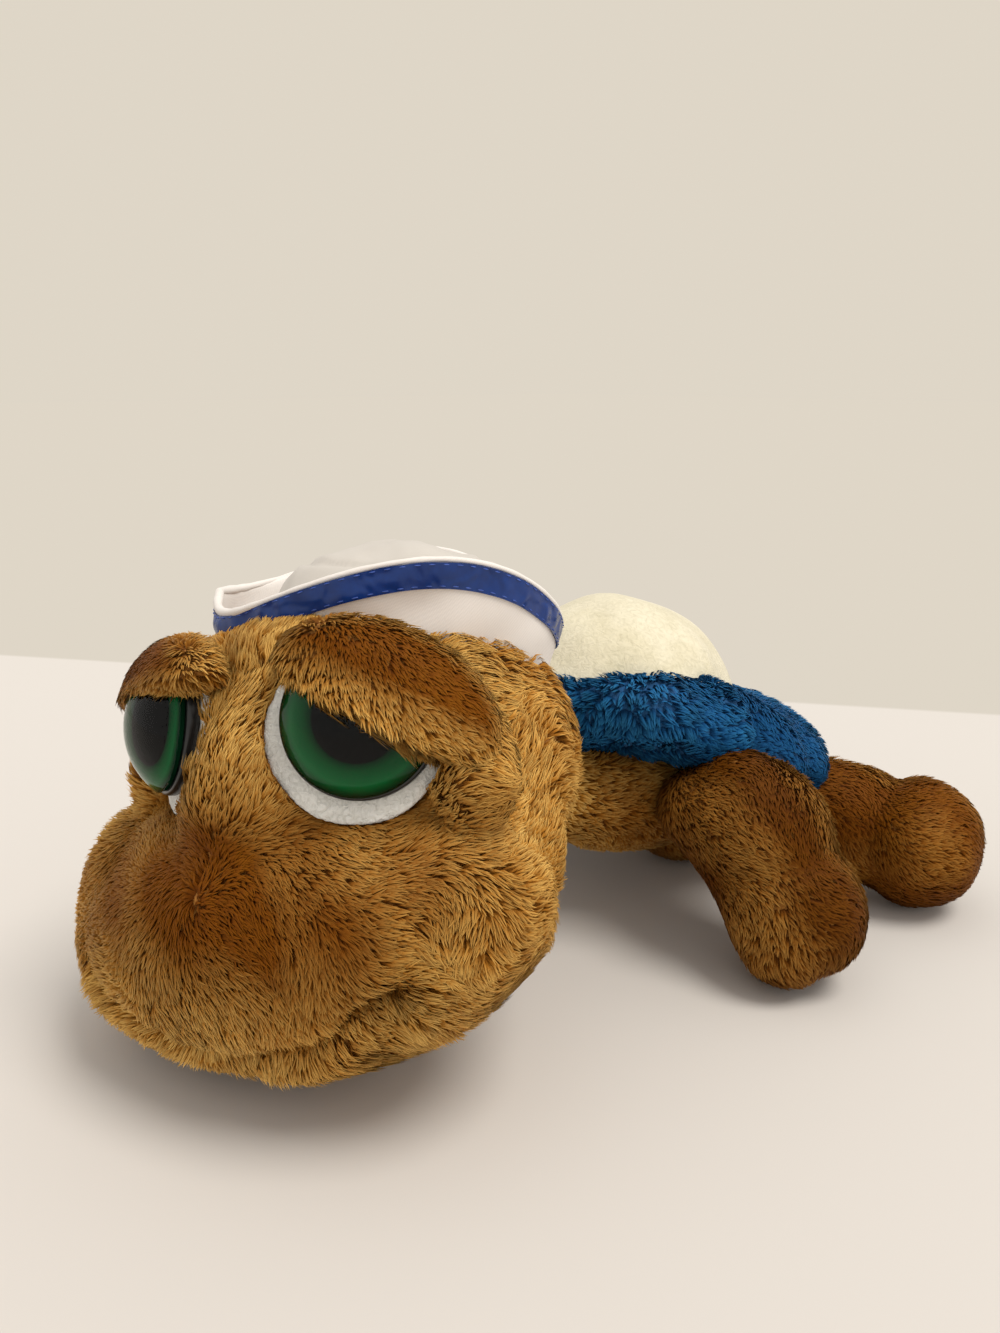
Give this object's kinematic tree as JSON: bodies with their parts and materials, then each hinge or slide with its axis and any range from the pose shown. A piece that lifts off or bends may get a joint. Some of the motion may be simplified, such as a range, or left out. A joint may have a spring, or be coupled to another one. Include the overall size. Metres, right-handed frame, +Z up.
{
  "type": "plush turtle",
  "caption": "Plush sea turtle lying flat: big turned head with lidded glossy eyes, sailor hat, cream domed shell with a blue rim and soft flippers.",
  "frame": {"origin": "on the table under the middle of the toy's bounding box", "axes": "+Z up; the nose points to -Y and the turtle's left side is +X"},
  "size_m": [0.2112, 0.2916, 0.1444],
  "materials": {
    "plush": "caramel brown long-pile plush",
    "sole": "short-pile brown plush",
    "blue": "royal blue plush",
    "cream": "cream short-pile plush",
    "twill": "white cotton twill",
    "ribbon": "blue satin ribbon",
    "felt": "off-white felt",
    "black": "black moulded plastic",
    "iris": "green printed disc with a black pupil",
    "lens": "clear glossy plastic",
    "filling": "white polyester fibre",
    "nylon": "pale nylon"
  },
  "bodies": {
    "torso": {"body_back": "plush", "body_belly": "plush", "body_stuffing": "filling", "pellet_bag": "nylon", "shell_dome": "cream", "shell_stuffing": "filling", "shell_rim": "blue"},
    "neck": {"neck_wad": "filling"},
    "head": {"head_face": "plush", "head_jaw": "plush", "head_back": "plush", "head_stuffing": "filling", "left_eye_felt": "felt", "left_eye_cup": "black", "left_eye_washer": "nylon", "left_eye_iris": "iris", "left_eye_lens": "lens", "right_eye_felt": "felt", "right_eye_cup": "black", "right_eye_washer": "nylon", "right_eye_iris": "iris", "right_eye_lens": "lens", "left_eyelid": "plush", "right_eyelid": "plush", "hat_crown": "twill", "hat_wadding": "filling", "hat_brim": "twill", "hat_ribbon": "ribbon"},
    "front_left_root": {"front_left_root_wad": "filling"},
    "front_left_flipper": {"front_left_flipper": "plush", "front_left_sole": "sole", "front_left_stuffing": "filling"},
    "front_right_root": {"front_right_root_wad": "filling"},
    "front_right_flipper": {"front_right_flipper": "plush", "front_right_sole": "sole", "front_right_stuffing": "filling"},
    "rear_left_root": {"rear_left_root_wad": "filling"},
    "rear_left_flipper": {"rear_left_flipper": "plush", "rear_left_sole": "sole", "rear_left_stuffing": "filling"},
    "rear_right_root": {"rear_right_root_wad": "filling"},
    "rear_right_flipper": {"rear_right_flipper": "plush", "rear_right_sole": "sole", "rear_right_stuffing": "filling"}
  },
  "joints": [
    {"name": "head_turn", "type": "hinge", "parent": "torso", "child": "neck", "pos_m": [0, -0.02283, 0.06021], "axis": [0, 0, 1], "range_deg": [-38, 12]},
    {"name": "head_nod", "type": "hinge", "parent": "neck", "child": "head", "pos_m": [0, -0.02283, 0.06021], "axis": [0.9511, 0.309, 0], "range_deg": [-14, 9]},
    {"name": "front_left_sweep", "type": "hinge", "parent": "torso", "child": "front_left_root", "pos_m": [0.047, 0.03717, 0.049], "axis": [0, 0, 1], "range_deg": [-20, 9]},
    {"name": "front_left_lift", "type": "hinge", "parent": "front_left_root", "child": "front_left_flipper", "pos_m": [0.047, 0.03717, 0.049], "axis": [-0.0349, 0.9994, 0], "range_deg": [-12, 7]},
    {"name": "front_right_sweep", "type": "hinge", "parent": "torso", "child": "front_right_root", "pos_m": [-0.047, 0.03717, 0.049], "axis": [0, 0, -1], "range_deg": [-20, 9]},
    {"name": "front_right_lift", "type": "hinge", "parent": "front_right_root", "child": "front_right_flipper", "pos_m": [-0.047, 0.03717, 0.049], "axis": [-0.0349, -0.9994, 0], "range_deg": [-12, 7]},
    {"name": "rear_left_sweep", "type": "hinge", "parent": "torso", "child": "rear_left_root", "pos_m": [0.035, 0.09217, 0.031], "axis": [0, 0, 1], "range_deg": [-20, 20]},
    {"name": "rear_left_lift", "type": "hinge", "parent": "rear_left_root", "child": "rear_left_flipper", "pos_m": [0.035, 0.09217, 0.031], "axis": [-0.5446, 0.8387, 0], "range_deg": [-16, 20]},
    {"name": "rear_right_sweep", "type": "hinge", "parent": "torso", "child": "rear_right_root", "pos_m": [-0.035, 0.09217, 0.031], "axis": [0, 0, -1], "range_deg": [-20, 20]},
    {"name": "rear_right_lift", "type": "hinge", "parent": "rear_right_root", "child": "rear_right_flipper", "pos_m": [-0.035, 0.09217, 0.031], "axis": [-0.5446, -0.8387, 0], "range_deg": [-16, 20]}
  ]
}
